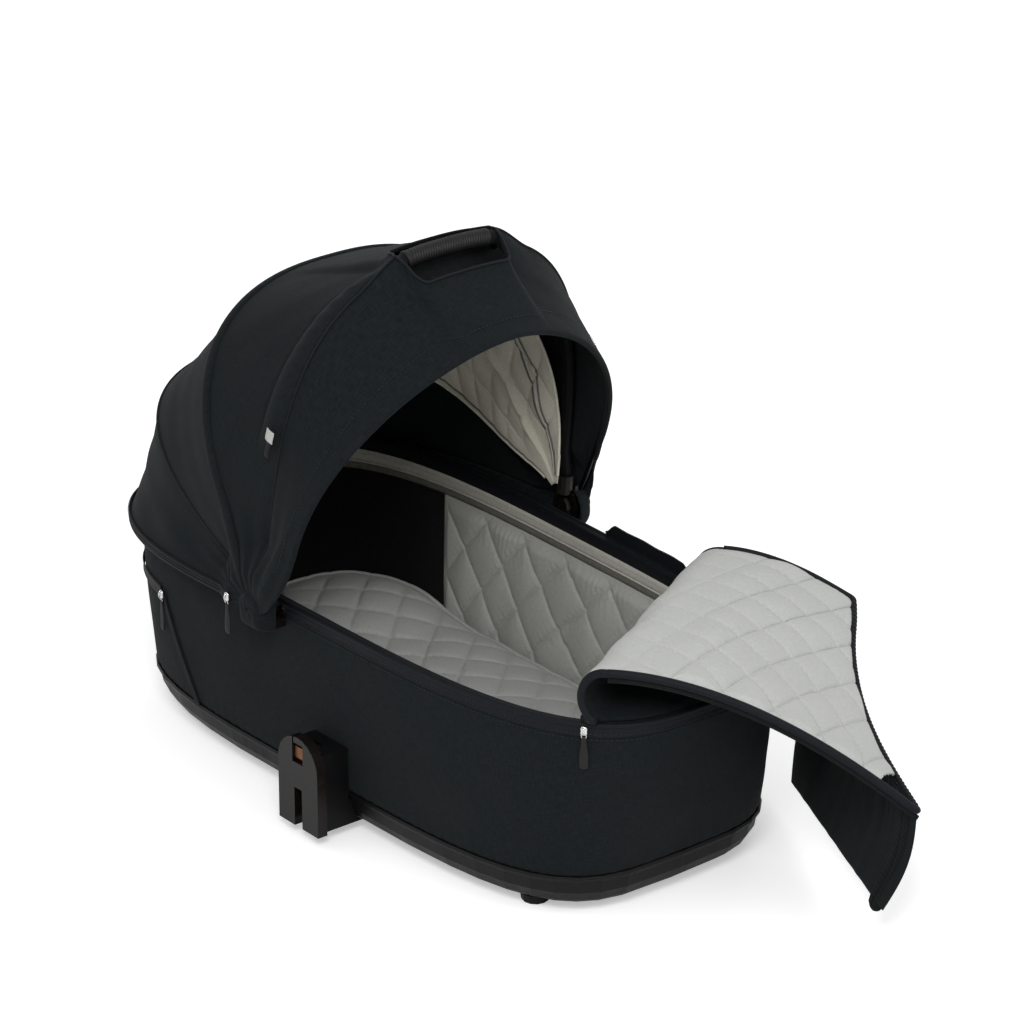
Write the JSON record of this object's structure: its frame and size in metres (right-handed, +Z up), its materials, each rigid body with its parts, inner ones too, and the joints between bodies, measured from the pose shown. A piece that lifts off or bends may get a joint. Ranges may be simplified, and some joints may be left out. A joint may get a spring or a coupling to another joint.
{
  "type": "carrycot",
  "caption": "Pram carrycot: oval tub with quilted liner and mattress, folding hood with a carrying grip, zip-on apron folded back, and frame adapters on its sides.",
  "frame": {"origin": "middle of the base pan's flat underside; the feet reach below it", "axes": "+X towards the foot end, +Y towards the far side (the near side, -Y, faces the picture's camera), +Z up"},
  "size_m": [1.0406, 0.5218, 0.6021],
  "materials": {
    "black_fabric": "matt woven",
    "black_tape": "smooth woven",
    "pan_plastic": "satin, finely grained",
    "gloss_plastic": "gloss",
    "rubber": "matt",
    "grey_liner": "quilted jersey",
    "mattress": "quilted jersey",
    "apron_lining": "quilted jersey",
    "taupe_trim": "ribbed tape",
    "mesh": "open mesh",
    "aluminium": "anodised",
    "steel": "plain",
    "chrome": "polished",
    "copper": "copper-coloured, satin",
    "board": "plain hardboard",
    "shell": "plain",
    "label": "plain woven"
  },
  "bodies": {
    "cot": {"base_pan": "pan_plastic", "floor_board": "board", "mattress": "mattress", "side_shell": "shell", "rim_frame": "aluminium", "body_cover": "black_fabric", "rim_binding": "black_tape", "liner": "grey_liner", "head_mesh": "mesh", "liner_trim": "taupe_trim", "rim_zip_tape": "black_tape", "vent_tape": "black_tape", "vent_mesh": "mesh", "rim_stud": "chrome", "hub_bracket_near": "gloss_plastic", "hub_bracket_far": "gloss_plastic", "hub_pin_near": "steel", "hub_pin_far": "steel", "hub_spring_near": "steel", "hub_spring_far": "steel", "canopy_hem": "black_tape", "apron_base": "black_fabric", "apron_slider": "chrome", "hem_slider": "chrome", "adapter_plate_near": "gloss_plastic", "adapter_plate_far": "gloss_plastic", "adapter_arm_near": "pan_plastic", "adapter_arm_far": "pan_plastic", "adapter_spring_near": "steel", "adapter_spring_far": "steel", "adapter_screw_near_1": "steel", "adapter_screw_near_2": "steel", "adapter_screw_far_1": "steel", "adapter_screw_far_2": "steel"},
    "rear_hoop": {"rear_bow": "aluminium", "canopy_rear": "black_fabric"},
    "mid_hoop": {"mid_bow": "aluminium", "canopy_back": "black_fabric"},
    "handle": {"handle_bow": "aluminium", "handle_grip": "rubber", "handle_knuckle_near": "gloss_plastic", "handle_knuckle_far": "gloss_plastic", "canopy_crown": "black_fabric", "canopy_lining": "grey_liner", "side_tag": "label"},
    "visor": {"visor_bow": "steel", "canopy_visor": "black_fabric"},
    "hub_button_near": {"hub_button_near": "gloss_plastic"},
    "hub_button_far": {"hub_button_far": "gloss_plastic"},
    "apron": {"apron_panel": "apron_lining", "apron_binding": "black_tape"},
    "flap": {"wind_flap": "black_fabric"},
    "key_near": {"adapter_key_near": "gloss_plastic"},
    "key_far": {"adapter_key_far": "gloss_plastic"},
    "latch_near": {"adapter_latch_near": "copper"},
    "latch_far": {"adapter_latch_far": "copper"},
    "vent_zip": {"vent_slider": "chrome"},
    "apron_tab": {"apron_pull": "rubber"},
    "hem_tab": {"hem_pull": "rubber"},
    "vent_tab": {"vent_pull": "rubber"}
  },
  "joints": [
    {"name": "hood_fold", "type": "hinge", "parent": "cot", "child": "rear_hoop", "pos_m": [-0.0526, 0, 0.22], "axis": [0, -1, 0], "range_deg": [0, 15.2], "deforming": ["canopy_rear"]},
    {"name": "mid_fold", "type": "hinge", "parent": "rear_hoop", "child": "mid_hoop", "pos_m": [-0.0526, 0, 0.22], "axis": [0, -1, 0], "range_deg": [0, 29.2], "deforming": ["canopy_back"]},
    {"name": "handle_fold", "type": "hinge", "parent": "mid_hoop", "child": "handle", "pos_m": [-0.0526, 0, 0.22], "axis": [0, -1, 0], "range_deg": [0, 25.5], "deforming": ["canopy_crown", "canopy_lining"]},
    {"name": "visor_fold", "type": "hinge", "parent": "handle", "child": "visor", "pos_m": [-0.0526, 0, 0.22], "axis": [0, -1, 0], "range_deg": [0, 15], "deforming": ["canopy_visor"]},
    {"name": "hub_press_near", "type": "slide", "parent": "cot", "child": "hub_button_near", "axis": [0, -1, 0], "range_m": [0, 0.003], "stiffness_N_per_m": 400, "springref_m": -0.001, "deforming": ["hub_spring_near"]},
    {"name": "hub_press_far", "type": "slide", "parent": "cot", "child": "hub_button_far", "axis": [0, 1, 0], "range_m": [0, 0.003], "stiffness_N_per_m": 400, "springref_m": -0.001, "deforming": ["hub_spring_far"]},
    {"name": "apron_fold", "type": "hinge", "parent": "cot", "child": "apron", "pos_m": [0.4, -0.118, 0.2845], "axis": [0.4977, -0.866, 0.0478], "range_deg": [0, 130]},
    {"name": "flap_swing", "type": "hinge", "parent": "apron", "child": "flap", "pos_m": [0.606, 0.113, 0.1375], "axis": [0.835, -0.5022, -0.2248], "range_deg": [0, 12]},
    {"name": "key_press_near", "type": "slide", "parent": "cot", "child": "key_near", "axis": [0, 0, -1], "range_m": [0, 0.003], "stiffness_N_per_m": 400, "springref_m": -0.001},
    {"name": "latch_draw_near", "type": "slide", "parent": "cot", "child": "latch_near", "axis": [0, 1, 0], "range_m": [0, 0.003], "deforming": ["adapter_spring_near"]},
    {"name": "key_press_far", "type": "slide", "parent": "cot", "child": "key_far", "axis": [0, 0, -1], "range_m": [0, 0.003], "stiffness_N_per_m": 400, "springref_m": -0.001},
    {"name": "latch_draw_far", "type": "slide", "parent": "cot", "child": "latch_far", "axis": [0, -1, 0], "range_m": [0, 0.003], "deforming": ["adapter_spring_far"]},
    {"name": "vent_zip_run", "type": "slide", "parent": "cot", "child": "vent_zip", "axis": [0.575, -0.1292, -0.8079], "range_m": [0, 0.1]},
    {"name": "apron_tab_swing", "type": "hinge", "parent": "cot", "child": "apron_tab", "pos_m": [0.37773, -0.12737, 0.2077], "axis": [-0.7577, -0.6526, 0], "range_deg": [0, 100]},
    {"name": "hem_tab_swing", "type": "hinge", "parent": "cot", "child": "hem_tab", "pos_m": [-0.0886, -0.22615, 0.21458], "axis": [-1, 0, 0], "range_deg": [0, 100]},
    {"name": "vent_tab_swing", "type": "hinge", "parent": "vent_zip", "child": "vent_tab", "pos_m": [-0.27124, -0.18405, 0.1392], "axis": [-0.981, 0.194, 0], "range_deg": [0, 100]}
  ],
  "couplings": [
    {"joint": "mid_fold", "follows": "hood_fold", "ratio": 1.921},
    {"joint": "handle_fold", "follows": "hood_fold", "ratio": 1.677},
    {"joint": "latch_draw_near", "follows": "key_press_near", "ratio": 1},
    {"joint": "latch_draw_far", "follows": "key_press_far", "ratio": 1}
  ]
}
